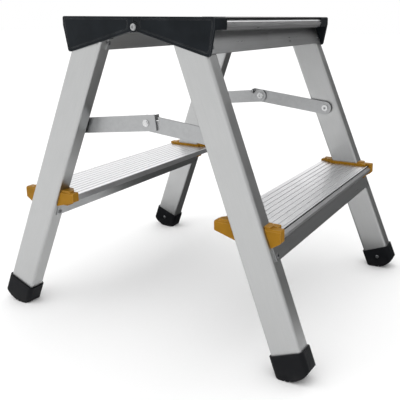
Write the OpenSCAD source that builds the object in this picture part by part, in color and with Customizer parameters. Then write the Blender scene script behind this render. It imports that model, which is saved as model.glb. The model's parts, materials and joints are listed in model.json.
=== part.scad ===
// Double-sided folding step stool with two tubular frames, two treads, a split
// platform and two folding spreaders.  Units mm, +Z up, the floor is z = 0.
// X runs from the left frame to the right frame, Y along the treads.
// The right frame is drawn, the left frame is the same part turned 180 degrees.

/* [Overall] */
// Height of the platform caps above the floor
stand_h = 480; // [440:1:520]
// Lean of each frame from the vertical, in degrees
lean = 21.4; // [18:0.1:24]
// Outward splay of each rail, in degrees
splay = 2.56; // [0:0.01:4]

/* [Rails] */
// X of a rail's axis at cap height
rail_x = 73.9; // [70:0.1:78]
// Y of a rail's outer face at cap height
rail_y = 207.8; // [190:0.1:230]
// Rail section, wide side
rail_w = 48; // [44:0.5:52]
// Rail section, narrow side
rail_t = 26.2; // [22:0.1:30]
// Rail wall thickness
rail_wall = 1.8; // [1.2:0.1:3]
// Corner radius of the rail section
rail_r = 4; // [3:0.5:6]
// Z of the level cut at a rail's top end
rail_top = 470; // [466:0.5:474]
// Length along the rail where its bottom end is cut
rail_end = 498; // [490:1:502]

/* [Feet] */
// Length along the rail of the boot's rim
foot_rim = 476; // [465:1:482]
// Wall of the boot around the rail
foot_wall = 2.8; // [2:0.1:4]
// Length along the rail of the centre of the sole's curve
sole_l = 470.4; // [465:0.1:476]
// Radius of the sole's curve
sole_r = 42.9; // [42:0.1:46]

/* [Caps] */
// Y of the cap's outer face
cap_y = 211.6; // [200:0.1:230]
// Y where the cap's block ends and the platform starts
cap_in = 178; // [170:0.5:184]
// X of the cap's outer end
cap_x = 130.7; // [126:0.1:136]
// Z of the underside of the cap's block
cap_low = 463; // [458:0.5:468]
// Gap between the two halves, each side of the middle
half_gap = 0.75; // [0.4:0.05:1.5]
// Z of the main pivot
pivot_z = 465.5; // [462:0.5:470]
// Radius of a knuckle
knuckle_r = 7.3; // [7:0.1:8]
// Radius of the main pivot bolt
bolt_r = 4; // [3:0.1:5]

/* [Platform] */
// X of the platform's front edge
deck_x = 130; // [124:0.5:134]
// Thickness of the deck's skin
skin = 2.4; // [1.8:0.1:4]
// Number of grooves in one deck half
deck_grooves = 10; // [6:1:12]

/* [Step] */
// Z of the tread's top
step_z = 202; // [190:1:215]
// X of the tread's back edge
step_x0 = 130.5; // [120:0.5:140]
// X of the tread's front edge
step_x1 = 230.5; // [220:0.5:240]
// Half of the tread's length
step_y = 202.8; // [180:0.1:204]
// Y where the tread's notch and the bracket's plate meet
notch_y = 192.4; // [180:0.1:193]
// Height of the tread's front edge
nosing_h = 10; // [8:0.5:14]
// Number of grooves in the tread
step_grooves = 9; // [6:1:11]

/* [Spreaders] */
// Length along the rail where a spreader is riveted
spread_l = 182.5; // [170:0.5:195]
// X of the knee, counted from the middle
knee_x = 3.5; // [2:0.1:5]
// Z of the knee
knee_z = 325.7; // [322:0.1:328]
// Thickness of a link
link_t = 2.5; // [2:0.1:3]
// Height of a link
link_h = 24.4; // [20:0.1:26]
// Y of the outer link's inner face
link_y = 184.1; // [183:0.1:186]
// Length of the outer link past the knee
tail = 17.5; // [14:0.5:22]

/* [Hidden] */
$fn = 64;
slip = 0.05;
low_cos = cos(lean) * cos(splay);
low_sin = sin(lean) * cos(splay);
rail_pivot = [rail_x + spread_l * low_sin, stand_h - spread_l * low_cos];
knee = [-knee_x, knee_z];
outer_vec = knee - [-rail_pivot[0], rail_pivot[1]];
inner_vec = rail_pivot - knee;
outer_l = norm(outer_vec);
inner_l = norm(inner_vec);
metal = "#c9cbcd";
dark_metal = "#77797c";
black = "#24272b";
ochre = "#b07c28";
steel = "#9a9c9f";

// Sub-part to draw, or "all"

// ---- placing ----

// Puts a part drawn at +X, +Y into one of the four corners
module corner(right, far) {
    if (right)
        mirror([0, far ? 0 : 1, 0]) children();
    else
        rotate([0, 0, 180]) mirror([0, far ? 1 : 0, 0]) children();
}

// Puts a part drawn at +X into the right or left half
module half(right) {
    rotate([0, 0, right ? 0 : 180]) children();
}

// Rail coordinates at +X, +Y: x across the rail, y out of its outer face, -z down its length
module on_rail() {
    translate([rail_x, rail_y, stand_h])
        rotate([0, -lean, 0])
            rotate([splay, 0, 0]) children();
}

// Extrudes a profile drawn in X and Z from y0 to y1
module along_y(y0, y1) {
    translate([0, y1, 0])
        rotate([90, 0, 0])
            linear_extrude(height = y1 - y0) children();
}

// Cylinder along Y from y0 to y1, centred on [x, z]
module rod_y(c, r, y0, y1) {
    along_y(y0, y1) translate(c) circle(r = r);
}

// ---- outlines ----

function unit(v) = v / norm(v);

// Arc that replaces corner b, between its neighbours a and c
function arc(a, b, c, r) =
    let(u = unit(a - b), v = unit(c - b), h = acos(u * v) / 2,
        m = b + unit(u + v) * r / sin(h),
        s = unit(b + u * r / tan(h) - m), e = unit(b + v * r / tan(h) - m),
        w = acos(s * e), n = 5)
    [for (k = [0 : n]) m + r * (s * sin(w * (1 - k / n)) + e * sin(w * k / n)) / sin(w)];

// Polygon p with corner i rounded to r[i], or left sharp where r[i] is 0
function rounded(p, r) = [
    for (i = [0 : len(p) - 1])
        each (r[i] == 0 ? [p[i]]
            : arc(p[(i + len(p) - 1) % len(p)], p[i], p[(i + 1) % len(p)], r[i]))
];

// Outline points of 2 mm ribs that hang from height top to low, at each x
function ribs(xs, top, low) = [
    for (x = xs) each [[x + 2, top], [x + 2, low], [x, low], [x, top]]
];

// Rectangle w by h about its centre, with corners of radius r
module round_rect(w, h, r) {
    square([w - 2 * r, h], center = true);
    square([w, h - 2 * r], center = true);
    for (x = [-1, 1], y = [-1, 1])
        translate([x * (w / 2 - r), y * (h / 2 - r)]) circle(r = r);
}

// Solid bar around the rail, grown by g, between two lengths
module rail_bar(g, l0, l1) {
    on_rail()
        translate([0, -rail_t / 2, -l1])
            linear_extrude(height = l1 - l0)
                round_rect(rail_w + 2 * g, rail_t + 2 * g, rail_r + g);
}

// ---- rails and feet ----

// Space above height z
module above(z) {
    translate([-300, -300, z]) cube([600, 600, 100]);
}

module rail() {
    color(metal)
        difference() {
            rail_bar(0, -5, rail_end);
            rail_bar(-rail_wall, -30, rail_end + 1);
            above(rail_top);
            foot_rivet_hole();
            plate_rivet_holes();
        }
}

// Rail with the extra hole for the spreader's rail rivet
module pivot_rail() {
    color(metal)
        difference() {
            rail();
            rod_y(rail_pivot, 3 + slip, 186, 194);
        }
}

module foot() {
    color(black)
        difference() {
            on_rail() foot_block();
            rail_bar(slip, 400, rail_end + slip);
            foot_rivet_hole();
            translate([0, 0, -50]) cube([900, 900, 100], center = true);
        }
}

// Boot before the rail's pocket is cut, in rail coordinates
module foot_block() {
    depth = rail_t + 2 * foot_wall;
    difference() {
        translate([0, -rail_t / 2, 0])
            intersection() {
                translate([0, 0, -foot_rim - 50])
                    linear_extrude(height = 50)
                        round_rect(rail_w + 2 * foot_wall, depth, rail_r + foot_wall);
                translate([0, depth, -sole_l])
                    rotate([90, 0, 0]) cylinder(r = sole_r, h = 2 * depth);
            }
        for (a = [-38, -28, 28, 38])
            translate([0, -rail_t / 2, -sole_l])
                rotate([0, a - lean, 0])
                    translate([0, 0, -sole_r]) cube([2.2, depth + 2, 3.2], center = true);
    }
}

module foot_rivet_hole() {
    on_rail()
        translate([0, -rail_t - 6, -492])
            rotate([-90, 0, 0]) cylinder(r = 2.4 + slip, h = 12);
}

// Hollow rivet on z = 0: domed head above, shank below
module rivet(head_r, head_h, shank_r, grip) {
    difference() {
        union() {
            cylinder(r = head_r, h = head_h * 0.45);
            translate([0, 0, head_h * 0.45])
                cylinder(r1 = head_r, r2 = head_r * 0.66, h = head_h * 0.55);
            translate([0, 0, -grip]) cylinder(r = shank_r, h = grip);
        }
        translate([0, 0, -0.6]) cylinder(r = shank_r * 0.6, h = head_h + 1);
    }
}

module foot_rivets() {
    color(steel)
        for (far = [false, true])
            mirror([0, far ? 0 : 1, 0])
                on_rail()
                    translate([0, -rail_t - foot_wall, -492])
                        rotate([90, 0, 0]) rivet(3.4, 1.4, 2.4, foot_wall + rail_wall + 1);
}

// ---- caps ----

// Outline of the cap's side plate, in X and Z
function cap_outline() = rounded(
    [[half_gap, stand_h], [cap_x, stand_h], [cap_x, 467], [122.9, 427.4], [111, 430.2],
     [9, 458.3], [3.4, 459.4], [half_gap, pivot_z]],
    [0, 3, 5, 4, 8, 6, 0, 0]);

// Outline of the sunk panel on the cap's outer face, grown by g
function cap_panel(g) = rounded(
    [[11 - g, stand_h - 3.6 + g], [cap_x - 3.6 + g, stand_h - 3.6 + g],
     [cap_x - 3.8 + g, 467.4], [121.8 + 0.8 * g, 432.2 - 1.2 * g], [11 - g, 462.7 - g]],
    [2, 2, 4, 5, 3]);

module cap(outer_knuckle) {
    color(black)
        difference() {
            union() {
                cap_shell();
                rod_y([0, pivot_z], knuckle_r, outer_knuckle ? 203 : 194.6,
                      outer_knuckle ? cap_y : 202.6);
            }
            knuckle_room(outer_knuckle);
            rod_y([0, pivot_z], bolt_r + slip, 170, 220);
            difference() {
                rail_bar(0.15, -10, 120);
                above(rail_top + 0.3);
            }
            along_y(cap_y - 0.4, cap_y + 5) polygon(cap_panel(-0.3));
            along_y(cap_y - 0.9, cap_y + 5)
                difference() {
                    polygon(cap_panel(0.6));
                    polygon(cap_panel(-0.6));
                }
            along_y(182, 207) polygon([[14, 440], [14, 476], [46, 476], [46, 440]]);
        }
}

// Block at the platform's end with the side plate
module cap_shell() {
    along_y(207, cap_y) polygon(cap_outline());
    intersection() {
        along_y(cap_in, 208) polygon(cap_outline());
        translate([-10, 100, cap_low]) cube([200, 200, 50]);
    }
    along_y(200, 208) polygon([[12, 464], [12, 457.8], [50, 447.5], [50, 464]]);
}

// Space swept by the other half's knuckle, the bolt and the nut
module knuckle_room(outer_knuckle) {
    y0 = outer_knuckle ? 170 : 202.8;
    y1 = outer_knuckle ? 202.8 : 220;
    rod_y([0, pivot_z], knuckle_r + 1.3, y0, y1);
    rod_y([0, pivot_z], knuckle_r + 1.3, 170, 194.4);
}

// ---- platform ----

module deck() {
    y = cap_in - 0.2;
    color(metal) along_y(-y, y) deck_profile();
}

module deck_profile() {
    top = stand_h - 0.4;
    low = cap_low;
    pitch = 10.4;
    difference() {
        polygon(concat(
            [[1.4, top], [deck_x - 4.2, top], [deck_x - 4.2, top - 2.6], [deck_x - 3.6, top - 2.6],
             [deck_x, top - 6.4], [deck_x, top - 11.8], [deck_x - 2.2, low], [108, low],
             [108, low + 2], [116, low + 2], [116, top - skin]],
            ribs([76, 42], top - skin, low),
            [[9, top - skin], [9, low + 3], [1.4, low + 3]]));
        polygon([[118, top - 4.6], [deck_x - 5, top - 4.6], [deck_x - 5, low + 2], [118, low + 2]]);
        polygon([[3.4, top - skin], [7, top - skin], [7, low + 5], [3.4, low + 5]]);
        translate([deck_x - 2.4, top - 8]) square([4, 1.5]);
        translate([deck_x - 1.6, top - 12.4]) square([3, 1]);
        for (k = [0 : deck_grooves - 1])
            translate([16 + k * pitch, top - 1]) square([2, 3]);
    }
}

// Black inlay along the platform's top front edge
module deck_strip() {
    y = cap_in - 0.2;
    top = stand_h - 0.4;
    color(black) along_y(-y, y) edge_strip([deck_x - 1.2, top], 2.95, 2.55);
}

// Strip section w by h that fills an edge whose outer top corner is at c
module edge_strip(c, w, h) {
    polygon(rounded([[c[0] - w, c[1]], c, c - [0, h], c - [w, h]], [0, 1, 0.3, 0]));
}

// Rail coordinate x of a face: the front face for way 1, the back face for way -1
function face_a(way) = way * rail_w / 2;

// X at height z of the plane on the rails' front or back faces
function plate_x(way, z) =
    rail_x + (stand_h + face_a(way) * sin(lean) - z) / low_cos * low_sin + face_a(way) * cos(lean);

// Plate on both rails' front or back faces from length l0 to l1, its ends inset from the rails'
// outer faces, cut off at height z where a flange 16 mm wide turns in under the deck or tread
module cross_plate(way, l0, l1, inset, z, flange_y) {
    half_y = rail_y + (l0 + l1) / 2 * sin(splay) - inset;
    difference() {
        translate([rail_x, 0, stand_h])
            rotate([0, -lean, 0])
                translate([way > 0 ? face_a(1) + slip : face_a(-1) - slip - 2, -half_y,
                           -l1 * cos(splay)])
                    cube([2, 2 * half_y, (l1 - l0) * cos(splay)]);
        above(z - 0.1);
    }
    translate([plate_x(way, z) + (way > 0 ? 0.6 : -16.6), -flange_y, z - 1.7])
        cube([16, 2 * flange_y, 1.6]);
}

// Moves to a rivet at length l, set in by t from the outer face, pointing out of the face
module at_face(way, l, t, out) {
    on_rail()
        translate([face_a(way) + way * out, -t, -l]) rotate([0, way * 90, 0]) children();
}

// Length along the rail and inset of the rivets: front apron, back apron, front web, back web
rivet_spots = [[1, 51.5, 15], [-1, 30.8, 16.5], [1, 345, 15], [-1, 324, 15]];

module plate_rivet_hole(spot) {
    at_face(spot[0], spot[1], spot[2], -8) cylinder(r = 2.4 + slip, h = 14);
}

module plate_rivet_holes() {
    for (spot = rivet_spots) plate_rivet_hole(spot);
}

module plate_rivets(spots) {
    color(steel)
        for (spot = spots, s = [0, 1])
            mirror([0, s, 0])
                at_face(spot[0], spot[1], spot[2], 2.1) rivet(3.6, 1.3, 2.4, 5);
}

module apron_rivets() {
    plate_rivets([rivet_spots[0], rivet_spots[1]]);
}

module web_rivets() {
    plate_rivets([rivet_spots[2], rivet_spots[3]]);
}

module apron(way) {
    color(dark_metal)
        difference() {
            cross_plate(way, way > 0 ? 20 : 0, way > 0 ? 62 : 42, way > 0 ? 8 : 14.5, cap_low,
                        cap_in - 1);
            for (s = [0, 1]) mirror([0, s, 0]) plate_rivet_holes();
        }
}

// ---- step ----

module tread() {
    color(metal)
        difference() {
            along_y(-step_y, step_y) tread_profile();
            for (s = [0, 1])
                mirror([0, s, 0])
                    translate([151.8, notch_y - 0.1, 180]) cube([70.4, 40, 40]);
        }
}

module tread_profile() {
    low = step_z - nosing_h;
    pitch = 10.15;
    difference() {
        polygon(concat(
            rounded([[step_x0, low], [step_x0, step_z], [step_x1 - 5, step_z]], [0, 1, 0]),
            [[step_x1 - 5, step_z - 1.6], [step_x1 - 3.4, step_z - 1.6], [step_x1, step_z - 5.8],
             [step_x1, low], [step_x1 - 14, low], [step_x1 - 14, step_z - skin]],
            ribs([197, 164], step_z - skin, low),
            [[step_x0 + 14, step_z - skin], [step_x0 + 14, low]]));
        translate([step_x1 - 12, low + 2]) square([5.6, nosing_h - 2 - skin]);
        translate([step_x1 - 12, low + 2]) square([9.4, 1.8]);
        translate([step_x0 + 2, low + 2]) square([10, nosing_h - 2 - skin]);
        for (k = [0 : step_grooves - 1])
            translate([140 + k * pitch, step_z - 1]) square([1.8, 3]);
    }
}

// Black inlay along the tread's top front edge
module tread_strip() {
    color(black) along_y(-step_y, step_y) edge_strip([step_x1 - 3.4, step_z], 1.55, 1.55);
}

module web(way) {
    color(dark_metal)
        difference() {
            cross_plate(way, way > 0 ? 318 : 297, way > 0 ? 352.5 : 330.5, 9,
                        step_z - nosing_h, notch_y - 6);
            for (s = [0, 1])
                mirror([0, s, 0]) {
                    plate_rivet_holes();
                    bracket_body(0.1);
                }
        }
}

// Outline of the bracket's wings, in X and Z
function bracket_outline(g) = rounded(
    [[129.8 - g, 205.5], [231.4 + g, 205.5], [231.4 + g, 188 - g], [218.5, 179.8 - g],
     [163.5, 181 - g], [129.8 - g, 191 - g]],
    [1.5, 1.5, 3, 2, 2, 2]);

// Bracket with the rail still filled in, grown by g
module bracket_body(g) {
    along_y(step_y + 0.2 - g, 216 + g) polygon(bracket_outline(g));
    along_y(notch_y - g, 204) polygon(rounded(
        [[152, 179.5 - g], [152, 206.5], [222, 206.5], [222, 179.5 - g]], [2, 1.5, 1.5, 2]));
    translate([0, 0, 200]) linear_extrude(height = 8.4) polygon(rounded(
        [[200, 196], [209, 196], [216, 203], [216, 214], [200, 214]], [0, 3, 4, 2, 0]));
    translate([0, 0, 200]) linear_extrude(height = 8.4) polygon(rounded(
        [[165, 196], [146, 196], [136, 206], [136, 214.5], [165, 214.5]], [0, 4, 4, 2, 0]));
}

// Bracket that joins the tread to a rail
module bracket() {
    color(ochre)
        difference() {
            bracket_body(0);
            rail_bar(0.15, 200, 400);
            for (x = [100, 222.25])
                translate([x, 180, 150]) cube([51.75, step_y + 0.1 - 180, step_z + 0.1 - 150]);
            translate([180, 216, 205.5]) rotate([45, 0, 0]) cube([150, 3, 3], center = true);
        }
}

// ---- main pivot ----

module bolt() {
    color(steel)
        difference() {
            union() {
                rod_y([0, pivot_z], bolt_r, 188.5, cap_y + 0.1);
                rod_y([0, pivot_z], 4.9, cap_y, cap_y + 1.1);
                rod_y([0, pivot_z], 4.1, cap_y + 1, cap_y + 2);
            }
            rod_y([0, pivot_z], 2.2, cap_y + 0.6, cap_y + 5);
        }
}

module nut() {
    color(steel)
        difference() {
            along_y(189.5, 194.3) translate([0, pivot_z]) circle(r = 7.2, $fn = 6);
            rod_y([0, pivot_z], bolt_r + slip, 180, 200);
        }
}

// ---- spreaders, drawn on the near side ----

// Link coordinates: x from a towards b, y out of the near side, z up
module from_to(a, vec) {
    translate([a[0], 0, a[1]])
        rotate([0, -atan2(vec[1], vec[0]), 0]) children();
}

module outer_link() {
    color(steel)
        from_to([-rail_pivot[0], rail_pivot[1]], outer_vec)
            difference() {
                union() {
                    along_y(-link_y - link_t, -link_y) outer_profile();
                    along_y(-link_y - link_t, -link_y + 9)
                        translate([outer_l + 15, 3]) square([2.2, 8.6]);
                }
                rod_y([0, 0], 3 + slip, -200, -170);
                rod_y([outer_l, 0], 2.6 + slip, -200, -170);
            }
}

module outer_profile() {
    h = link_h / 2;
    circle(r = h);
    polygon(rounded([[0, -h], [outer_l + tail, -h], [outer_l + tail, h], [0, h]], [0, 2, 2, 0]));
}

module inner_link() {
    color(steel)
        from_to(knee, inner_vec)
            difference() {
                along_y(-link_y + 0.5, -link_y + 0.5 + link_t) inner_profile();
                rod_y([0, 0], 2.6 + slip, -200, -170);
                rod_y([inner_l, 0], 3 + slip, -200, -170);
            }
}

module inner_profile() {
    h = link_h / 2;
    difference() {
        union() {
            circle(r = h);
            translate([inner_l, 0]) circle(r = h);
            translate([0, -h]) square([inner_l, link_h]);
        }
        intersection() {
            difference() {
                circle(r = 21.8);
                circle(r = 14);
            }
            polygon([[0, 0], [40 * cos(20), 40 * sin(20)], [40, 40], [-40, 40], [-40, 0]]);
        }
    }
}

module knee_rivet() {
    color(steel)
        difference() {
            union() {
                rod_y(knee, 2.6, -link_y - link_t, -link_y + 3.2);
                rod_y(knee, 6.4, -link_y + 3.05, -link_y + 4.6);
                rod_y(knee, 5.4, -link_y - link_t - 1.2, -link_y - link_t);
                rod_y(knee, 3.6, -link_y - link_t - 1.9, -link_y - link_t - 1.1);
            }
            rod_y(knee, 2.2, -link_y + 3.4, -link_y + 6);
        }
}

// Hollow rivet through the outer link's end into the rail, with its spacer
module rail_rivet() {
    c = [-rail_pivot[0], rail_pivot[1]];
    color(steel)
        difference() {
            union() {
                rod_y(c, 3, -193.5, -link_y);
                rod_y(c, 6, -link_y + 0.05, -link_y + 1.7);
                rod_y(c, 3, -link_y - 0.1, -link_y + 0.2);
                difference() {
                    rod_y(c, 6, -192, -link_y - link_t - 0.05);
                    corner(false, false) rail_bar(slip, 100, 300);
                    rod_y(c, 3, -200, -180);
                }
            }
            rod_y(c, 2.4, -188, -170);
        }
}

// Hollow rivet held in the inner link's end, its flange just clear of the rail
module end_rivet() {
    c = rail_pivot;
    y0 = -link_y + 0.5;
    color(steel)
        difference() {
            union() {
                rod_y(c, 3, y0 - 1.9, y0 + link_t + 0.1);
                rod_y(c, 6, y0 + link_t + 0.05, y0 + link_t + 1.7);
                rod_y(c, 6, y0 - 5, y0 - 0.05);
            }
            rod_y(c, 2.4, y0 - 3, y0 + 10);
        }
}

// ---- drawing ----

corner(false, false) pivot_rail();  // left_near_rail
corner(false, true) rail();  // left_far_rail
corner(true, false) rail();  // right_near_rail
corner(true, true) pivot_rail();  // right_far_rail
corner(false, false) foot();  // left_near_foot
corner(false, true) foot();  // left_far_foot
corner(true, false) foot();  // right_near_foot
corner(true, true) foot();  // right_far_foot
half(false) foot_rivets();  // left_foot_rivets
half(true) foot_rivets();  // right_foot_rivets
corner(false, false) cap(true);  // left_near_cap
corner(false, true) cap(false);  // left_far_cap
corner(true, false) cap(false);  // right_near_cap
corner(true, true) cap(true);  // right_far_cap
half(false) deck();  // left_deck
half(true) deck();  // right_deck
half(false) deck_strip();  // left_deck_strip
half(true) deck_strip();  // right_deck_strip
half(false) apron(1);  // left_apron
half(true) apron(1);  // right_apron
half(false) apron(-1);  // left_back_apron
half(true) apron(-1);  // right_back_apron
half(false) apron_rivets();  // left_apron_rivets
half(true) apron_rivets();  // right_apron_rivets
half(false) tread();  // left_tread
half(true) tread();  // right_tread
half(false) tread_strip();  // left_tread_strip
half(true) tread_strip();  // right_tread_strip
half(false) web(1);  // left_web
half(true) web(1);  // right_web
half(false) web(-1);  // left_back_web
half(true) web(-1);  // right_back_web
half(false) web_rivets();  // left_web_rivets
half(true) web_rivets();  // right_web_rivets
corner(false, false) bracket();  // left_near_bracket
corner(false, true) bracket();  // left_far_bracket
corner(true, false) bracket();  // right_near_bracket
corner(true, true) bracket();  // right_far_bracket
half(false) bolt();  // near_bolt
bolt();  // far_bolt
half(false) nut();  // near_nut
nut();  // far_nut
outer_link();  // near_outer_link
half(false) outer_link();  // far_outer_link
inner_link();  // near_inner_link
half(false) inner_link();  // far_inner_link
knee_rivet();  // near_knee_rivet
half(false) knee_rivet();  // far_knee_rivet
rail_rivet();  // near_rail_rivet
half(false) rail_rivet();  // far_rail_rivet
end_rivet();  // near_end_rivet
half(false) end_rivet();  // far_end_rivet
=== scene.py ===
"""Looks of a double-sided folding step stool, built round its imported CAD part.

Lengths are in metres and angles in radians. X is the direction the two frames spread in,
Y runs along the treads, Z is up, and the stool stands on z = 0.
"""
import json
import math

import bpy
from mathutils import Matrix, Vector

MM = 0.001

# Lean of each frame's rails from upright
LEAN = math.radians(21.4)

# Camera on the stool's near right side, its lens and sensor in millimetres
CAMERA_AT = Vector((0.53457, -0.8933, 0.48105))
CAMERA_YAW = math.radians(27.267)
CAMERA_PITCH = math.radians(-13.383)
CAMERA_ROLL = math.radians(0.278)
CAMERA_LENS = 53.792
CAMERA_SENSOR = 36.0
CAMERA_SHIFT = (-0.12464, -0.10416)
CAMERA_CLIP = (0.01, 100.0)

# Tent of light: the direction of its brighter side, the cosines to that direction at which
# it is dimmest and brightest, its strengths there, and its strength as the camera sees it
BRIGHT_SIDE = (-0.40, 0.0, 0.92)
SIDE_COSINES = (-0.35, 0.6)
SKY_STRENGTHS = (0.35, 1.3)
BACKDROP_STRENGTH = 1.0

# Key light, its power in watts
KEY_AT = Vector((-1.6, -2.2, 2.4))
KEY_TARGET = Vector((0.0, 0.0, 0.25))
KEY_SIZE = (2.2, 1.6)
KEY_POWER = 8.0

# Grey cloths that only reflections see: one upright behind the stool, one just above the floor
FAR_FLAG = {
    "at": (1.45, 1.9, 0.60),
    "size": (2.9, 1.4),
    "turn": (math.radians(90), 0.0, math.radians(-38)),
    "grey": 0.15,
}
LOW_FLAG = {
    "at": (1.2, 1.55, 0.003),
    "size": (3.4, 2.88),
    "turn": (0.0, 0.0, 0.0),
    "grey": 0.08,
}

# Floor, just under the boots
FLOOR_SIZE = 30.0
FLOOR_Z = -0.5 * MM

# Turns that bring a rail or a tread in line with an axis of the draw lines' noise
ALONG_LEFT_RAIL = (0.0, -LEAN, 0.0)
ALONG_RIGHT_RAIL = (0.0, LEAN, 0.0)
ALONG_TREAD = (0.0, 0.0, 0.0)

# Scale of the draw lines' noise on each axis: fine across the lines and long along them
LINES_DOWN_RAIL = (700.0, 700.0, 5.0)
LINES_DOWN_TREAD = (700.0, 5.0, 700.0)

# Ranges for remapping: where most of a noise lies, its middle part, and nought to one
MOST_NOISE = (0.3, 0.7)
MID_NOISE = (0.35, 0.65)
UNIT = (0.0, 1.0)

# Cosine between the rounded and the true normal, on a sharp edge and on a flat face
EDGE_COSINES = (0.85, 0.99)
BEVEL_SAMPLES = 4

# Colour of the painted highlight along moulded edges, which scuffs also take: its pale tone times
# a gain, plus a lift
HIGHLIGHT_AND_SCUFF_GAIN = 1.6
HIGHLIGHT_AND_SCUFF_LIFT = 0.08

# Height up to which dust lies on the boots
DUST_TOP = 22 * MM

# Sockets of a Mix node for each kind of value: factor, two inputs and the output
MIX_SOCKETS = {"FLOAT": (0, 2, 3, 0), "RGBA": (0, 6, 7, 2)}


# ---- node helpers ----

class Nodes:
    """A node tree, with short ways to add and join nodes."""

    def __init__(self, tree):
        self.tree = tree

    def add(self, kind, **values):
        node = self.tree.nodes.new(kind)
        for key, value in values.items():
            setattr(node, key, value)
        return node

    def join(self, output, socket):
        self.tree.links.new(output, socket)

    def feed(self, socket, value):
        """Gives a socket a number, a colour or another node's output."""
        if isinstance(value, tuple):
            socket.default_value = (*value, 1.0)
        elif isinstance(value, (int, float)):
            socket.default_value = value
        else:
            self.join(value, socket)

    def remap(self, value, source, target):
        """Value moved from one range to another, and held at the ends of the range."""
        node = self.add("ShaderNodeMapRange")
        node.inputs["From Min"].default_value, node.inputs["From Max"].default_value = source
        node.inputs["To Min"].default_value, node.inputs["To Max"].default_value = target
        self.join(value, node.inputs["Value"])
        return node.outputs["Result"]

    def mix(self, kind, factor, first, second):
        """Mix of two numbers (FLOAT) or two colours (RGBA)."""
        node = self.add("ShaderNodeMix", data_type=kind)
        *inputs, result = MIX_SOCKETS[kind]
        for index, value in zip(inputs, (factor, first, second)):
            self.feed(node.inputs[index], value)
        return node.outputs[result]


class Shader(Nodes):
    """One material's node tree, with the textures and masks that the materials share."""

    def __init__(self, name):
        self.material = bpy.data.materials.new(name)
        self.material.use_nodes = True
        super().__init__(self.material.node_tree)
        self.surface = self.tree.nodes["Principled BSDF"]

    def coordinates(self, turn=(0.0, 0.0, 0.0), stretch=(1.0, 1.0, 1.0)):
        """Object coordinates turned about the axes, then stretched."""
        source = self.add("ShaderNodeTexCoord")
        turned = self.add("ShaderNodeMapping")
        turned.inputs["Rotation"].default_value = turn
        scaled = self.add("ShaderNodeMapping")
        scaled.inputs["Scale"].default_value = stretch
        self.join(source.outputs["Object"], turned.inputs["Vector"])
        self.join(turned.outputs["Vector"], scaled.inputs["Vector"])
        return scaled.outputs["Vector"]

    def noise(self, vector, scale, detail=4.0, roughness=0.6):
        node = self.add("ShaderNodeTexNoise")
        node.inputs["Scale"].default_value = scale
        node.inputs["Detail"].default_value = detail
        node.inputs["Roughness"].default_value = roughness
        self.join(vector, node.inputs["Vector"])
        return node.outputs["Fac"]

    def blend(self, factor, first, second):
        return self.mix("RGBA", factor, first, second)

    def combine(self, operation, first, second):
        """One maths step on two values, each a number or an output."""
        node = self.add("ShaderNodeMath", operation=operation)
        self.feed(node.inputs[0], first)
        self.feed(node.inputs[1], second)
        return node.outputs["Value"]

    def rounded_normal(self, radius):
        """Surface normal with the edges rounded to a radius."""
        bevel = self.add("ShaderNodeBevel", samples=BEVEL_SAMPLES)
        bevel.inputs["Radius"].default_value = radius
        return bevel.outputs["Normal"]

    def bump(self, height, depth, edge):
        """Surface relief of the given depth, on edges rounded to the radius edge."""
        node = self.add("ShaderNodeBump")
        node.inputs["Distance"].default_value = depth
        node.inputs["Strength"].default_value = 1.0
        self.join(height, node.inputs["Height"])
        self.join(self.rounded_normal(edge), node.inputs["Normal"])
        self.join(node.outputs["Normal"], self.surface.inputs["Normal"])

    def edges(self, width):
        """Mask that is one on sharp edges and nought on flat faces."""
        true = self.add("ShaderNodeNewGeometry")
        match = self.add("ShaderNodeVectorMath", operation="DOT_PRODUCT")
        self.join(self.rounded_normal(width), match.inputs[0])
        self.join(true.outputs["Normal"], match.inputs[1])
        sharp, flat = EDGE_COSINES
        return self.remap(match.outputs["Value"], (flat, sharp), UNIT)

    def finish(self, colour, roughness, metallic=0.0, specular=0.5):
        self.join(colour, self.surface.inputs["Base Color"])
        self.join(roughness, self.surface.inputs["Roughness"])
        self.surface.inputs["Metallic"].default_value = metallic
        self.surface.inputs["Specular IOR Level"].default_value = specular
        return self.material


# ---- materials ----

def drawn_aluminium(name, turn, stretch, pale, shade, rough):
    """Anodised extrusion with fine draw lines along one direction and faint handling marks."""
    s = Shader(name)
    flat = s.coordinates()
    lines = s.noise(s.coordinates(turn, stretch), scale=1.0, detail=3.0)
    marks = s.noise(flat, scale=26.0, detail=6.0, roughness=0.7)
    grain = s.noise(flat, scale=2600.0, detail=2.0)
    tone = s.blend(s.remap(lines, MOST_NOISE, UNIT), shade, pale)
    marked = s.blend(s.remap(marks, (0.62, 0.8), (0.0, 0.35)), tone, shade)
    line_gloss = s.remap(lines, MOST_NOISE, (-0.05, 0.05))
    mark_gloss = s.remap(marks, MOST_NOISE, (rough - 0.05, rough + 0.07))
    relief = s.combine("ADD", s.combine("MULTIPLY", lines, 0.7), s.combine("MULTIPLY", grain, 0.3))
    s.bump(relief, depth=0.03 * MM, edge=0.5 * MM)
    return s.finish(marked, s.combine("ADD", line_gloss, mark_gloss), metallic=1.0)


def plated_steel(name, pale, shade, rough):
    """Zinc-plated steel with a mottled sheen and small dull spots."""
    s = Shader(name)
    flat = s.coordinates()
    mottle = s.noise(flat, scale=140.0, detail=5.0, roughness=0.65)
    spots = s.noise(flat, scale=900.0, detail=2.0)
    tone = s.blend(s.remap(mottle, MID_NOISE, UNIT), shade, pale)
    spotted = s.blend(s.remap(spots, (0.66, 0.74), (0.0, 0.6)), tone, shade)
    gloss = s.remap(mottle, MOST_NOISE, (rough - 0.08, rough + 0.1))
    s.bump(s.combine("ADD", mottle, spots), depth=0.04 * MM, edge=0.4 * MM)
    return s.finish(spotted, gloss, metallic=1.0)


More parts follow.
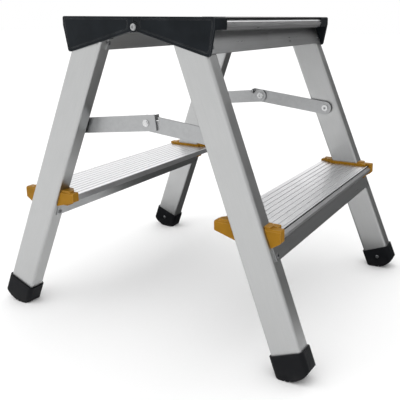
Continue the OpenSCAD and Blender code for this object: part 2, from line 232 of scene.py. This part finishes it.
def moulded_plastic(name, deep, pale, rough, edge, specular):
    """Injection moulding with a fine grain, a slight drift of tone, scuffs, and a painted
    highlight along sharp edges.
    """
    s = Shader(name)
    flat = s.coordinates()
    streaks = s.coordinates(turn=(0.3, 0.5, 0.2), stretch=(60.0, 420.0, 300.0))
    drift = s.noise(flat, scale=34.0)
    grain = s.noise(flat, scale=1400.0, detail=3.0, roughness=0.7)
    scuffs = s.noise(streaks, scale=1.0, detail=5.0, roughness=0.7)
    tone = s.blend(s.remap(drift, MID_NOISE, UNIT), deep, pale)
    # Painted highlight: sharp edges, found by the bevel mask, are mixed towards a paler tone as if
    # they caught the light; scuffs take the same paler tone
    highlight_and_scuff_tone = tuple(channel * HIGHLIGHT_AND_SCUFF_GAIN + HIGHLIGHT_AND_SCUFF_LIFT for channel in pale)
    painted_edge_highlight = s.combine("MULTIPLY", s.edges(2.0 * edge), s.remap(drift, MOST_NOISE, (0.3, 0.9)))
    # Mix mask: the painted edge highlight together with the random scuffs
    marks = s.combine("MAXIMUM", painted_edge_highlight, s.remap(scuffs, (0.66, 0.8), (0.0, 0.25)))
    grain_gloss = s.remap(grain, MOST_NOISE, (-0.05, 0.05))
    drift_gloss = s.remap(drift, MOST_NOISE, (rough - 0.05, rough + 0.08))
    gloss = s.combine("ADD", grain_gloss, drift_gloss)
    s.bump(grain, depth=0.05 * MM, edge=edge)
    return s.finish(s.blend(marks, tone, highlight_and_scuff_tone), gloss, specular=specular)


def boot_rubber(name):
    """Black rubber that pales with dust towards the floor."""
    s = Shader(name)
    flat = s.coordinates()
    split = s.add("ShaderNodeSeparateXYZ")
    s.join(flat, split.inputs["Vector"])
    patches = s.noise(flat, scale=70.0, detail=5.0, roughness=0.7)
    grain = s.noise(flat, scale=1500.0, detail=2.0)
    low = s.remap(split.outputs["Z"], (0.0, DUST_TOP), (0.8, 0.0))
    dust = s.combine("MULTIPLY", low, s.remap(patches, (0.35, 0.7), (0.0, 0.7)))
    black = s.blend(patches, (0.003, 0.0034, 0.0045), (0.006, 0.0066, 0.0085))
    dusty = s.blend(dust, black, (0.03, 0.029, 0.028))
    s.bump(s.combine("ADD", grain, patches), depth=0.09 * MM, edge=0.8 * MM)
    return s.finish(dusty, s.remap(patches, MOST_NOISE, (0.42, 0.62)), specular=0.13)


def floor_paper():
    """Matt pale paper with the faintest fibre."""
    s = Shader("floor_paper")
    fibre = s.noise(s.coordinates(), scale=300.0)
    pale = s.blend(fibre, (0.95, 0.95, 0.95), (0.98, 0.98, 0.98))
    s.bump(fibre, depth=0.02 * MM, edge=0.1 * MM)
    return s.finish(pale, s.remap(fibre, MOST_NOISE, (0.9, 1.0)), specular=0.0)


def flag_cloth(name, grey):
    """Matt grey weave."""
    s = Shader(name)
    weave = s.noise(s.coordinates(), scale=200.0)
    tone = s.blend(weave, (0.9 * grey,) * 3, (1.1 * grey,) * 3)
    return s.finish(tone, s.remap(weave, MOST_NOISE, (0.9, 1.0)), specular=0.1)


def make_materials():
    rail = {"pale": (0.485, 0.49, 0.49), "shade": (0.455, 0.46, 0.46), "rough": 0.37}
    return {
        "left_rail": drawn_aluminium("rail_left", ALONG_LEFT_RAIL, LINES_DOWN_RAIL, **rail),
        "right_rail": drawn_aluminium("rail_right", ALONG_RIGHT_RAIL, LINES_DOWN_RAIL, **rail),
        "tread": drawn_aluminium(
            "tread_metal", ALONG_TREAD, LINES_DOWN_TREAD,
            pale=(0.78, 0.78, 0.79), shade=(0.70, 0.70, 0.71), rough=0.34),
        # Painted shade: webs and aprons take a darker copy of the drawn aluminium, standing in for
        # the dark surroundings these faces reflect
        "panel": drawn_aluminium(
            "panel_metal_painted_shade", ALONG_TREAD, LINES_DOWN_TREAD,
            pale=(0.45, 0.455, 0.46), shade=(0.41, 0.415, 0.42), rough=0.34),
        "cap": moulded_plastic(
            "cap_black", deep=(0.007, 0.009, 0.011), pale=(0.011, 0.0135, 0.0165),
            rough=0.42, edge=0.6 * MM, specular=0.08),
        "strip": moulded_plastic(
            "strip_black", deep=(0.004, 0.004, 0.005), pale=(0.007, 0.007, 0.008),
            rough=0.5, edge=0.3 * MM, specular=0.2),
        "bracket": moulded_plastic(
            "bracket_ochre", deep=(0.27, 0.128, 0.005), pale=(0.33, 0.158, 0.008),
            rough=0.42, edge=0.7 * MM, specular=0.12),
        "boot": boot_rubber("boot_black"),
        "link": plated_steel(
            "link_zinc", pale=(0.41, 0.415, 0.42), shade=(0.36, 0.365, 0.37), rough=0.36),
        # Painted highlight: a lighter copy of the rivet steel for the knee rivets, standing in for
        # the bright glint on their domes
        "rivet_painted_highlight": plated_steel(
            "rivet_steel_painted_highlight", pale=(0.66, 0.665, 0.67), shade=(0.52, 0.525, 0.53), rough=0.22),
        "dull_rivet": plated_steel(
            "rivet_dull", pale=(0.26, 0.265, 0.27), shade=(0.18, 0.185, 0.19), rough=0.34),
    }


def material_key(name, slot):
    """Which material a node takes, from its name and its slot in the record."""
    if slot == "rail":
        return "left_rail" if name.startswith("left") else "right_rail"
    if slot != "rivet":
        return slot
    if name.endswith("_bolt"):
        return "link"
    # Knee rivets take the lighter steel copy with its painted highlight; plate and boot rivets
    # take the darker copy
    return "dull_rivet" if name.endswith("_rivets") else "rivet_painted_highlight"


def dress(frame, materials):
    """Gives each CAD node its material."""
    slots = {part["node"]: part["material_slot"] for part in frame["record"]["subparts"]}
    for name, node in frame["nodes"].items():
        node.data.materials.clear()
        node.data.materials.append(materials[material_key(name, slots[name])])


# ---- studio ----

def make_plane(name, size, at, turn=(0.0, 0.0, 0.0)):
    bpy.ops.mesh.primitive_plane_add(size=size, location=at, rotation=turn)
    plane = bpy.context.object
    plane.name = name
    return plane


def make_floor():
    floor = make_plane("floor", FLOOR_SIZE, (0.0, 0.0, FLOOR_Z))
    floor.data.materials.append(floor_paper())
    return floor


def make_flag(name, at, size, turn, grey):
    """Grey cloth that only reflections see."""
    flag = make_plane(name, 1.0, at, turn)
    flag.scale = (*size, 1.0)
    flag.visible_camera = False
    flag.visible_diffuse = False
    flag.visible_shadow = False
    flag.data.materials.append(flag_cloth(name + "_cloth", grey))
    return flag


def make_key():
    data = bpy.data.lights.new("key", "AREA")
    data.shape = "RECTANGLE"
    data.size, data.size_y = KEY_SIZE
    data.energy = KEY_POWER
    lamp = bpy.data.objects.new("key", data)
    bpy.context.collection.objects.link(lamp)
    lamp.location = KEY_AT
    lamp.rotation_mode = "QUATERNION"
    lamp.rotation_quaternion = (KEY_TARGET - KEY_AT).to_track_quat("-Z", "Y")


def make_world():
    """Pale tent round the set, brighter overhead and on the left, seen as plain white."""
    world = bpy.data.worlds.new("studio")
    world.use_nodes = True
    tent = Nodes(world.node_tree)
    look = tent.add("ShaderNodeTexCoord")
    side = tent.add("ShaderNodeVectorMath", operation="DOT_PRODUCT")
    side.inputs[1].default_value = BRIGHT_SIDE
    tent.join(look.outputs["Generated"], side.inputs[0])
    glow = tent.remap(side.outputs["Value"], SIDE_COSINES, SKY_STRENGTHS)
    seen = tent.add("ShaderNodeLightPath").outputs["Is Camera Ray"]
    sky = world.node_tree.nodes["Background"]
    sky.inputs["Color"].default_value = (1.0, 1.0, 1.0, 1.0)
    tent.join(tent.mix("FLOAT", seen, glow, BACKDROP_STRENGTH), sky.inputs["Strength"])
    bpy.context.scene.world = world


def camera_basis():
    """Matrix whose columns are the camera's right, up and backward directions."""
    forward = Vector((
        -math.sin(CAMERA_YAW) * math.cos(CAMERA_PITCH),
        math.cos(CAMERA_YAW) * math.cos(CAMERA_PITCH),
        math.sin(CAMERA_PITCH),
    ))
    level = Vector((math.cos(CAMERA_YAW), math.sin(CAMERA_YAW), 0.0))
    up = level.cross(forward)
    right = level * math.cos(CAMERA_ROLL) + up * math.sin(CAMERA_ROLL)
    return Matrix((right, right.cross(forward), -forward)).transposed()


def make_camera():
    data = bpy.data.cameras.new("camera")
    data.lens = CAMERA_LENS
    data.sensor_width = CAMERA_SENSOR
    data.shift_x, data.shift_y = CAMERA_SHIFT
    data.clip_start, data.clip_end = CAMERA_CLIP
    data.dof.use_dof = False
    camera = bpy.data.objects.new("camera", data)
    bpy.context.collection.objects.link(camera)
    camera.matrix_world = Matrix.Translation(CAMERA_AT) @ camera_basis().to_4x4()
    bpy.context.scene.camera = camera


def make_studio():
    make_world()
    make_key()
    far_flag = make_flag("far_flag", **FAR_FLAG)
    low_flag = make_flag("low_flag", **LOW_FLAG)
    make_floor()
    make_camera()
    bpy.context.scene.view_settings.view_transform = "Standard"


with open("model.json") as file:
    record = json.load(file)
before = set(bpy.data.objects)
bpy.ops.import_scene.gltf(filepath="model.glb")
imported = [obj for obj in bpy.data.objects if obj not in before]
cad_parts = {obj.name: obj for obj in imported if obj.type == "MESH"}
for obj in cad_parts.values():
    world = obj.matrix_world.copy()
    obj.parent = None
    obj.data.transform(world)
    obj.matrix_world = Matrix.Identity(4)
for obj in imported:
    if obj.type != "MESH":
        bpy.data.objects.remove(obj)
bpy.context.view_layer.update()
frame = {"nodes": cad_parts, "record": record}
dress(frame, make_materials())
make_studio()
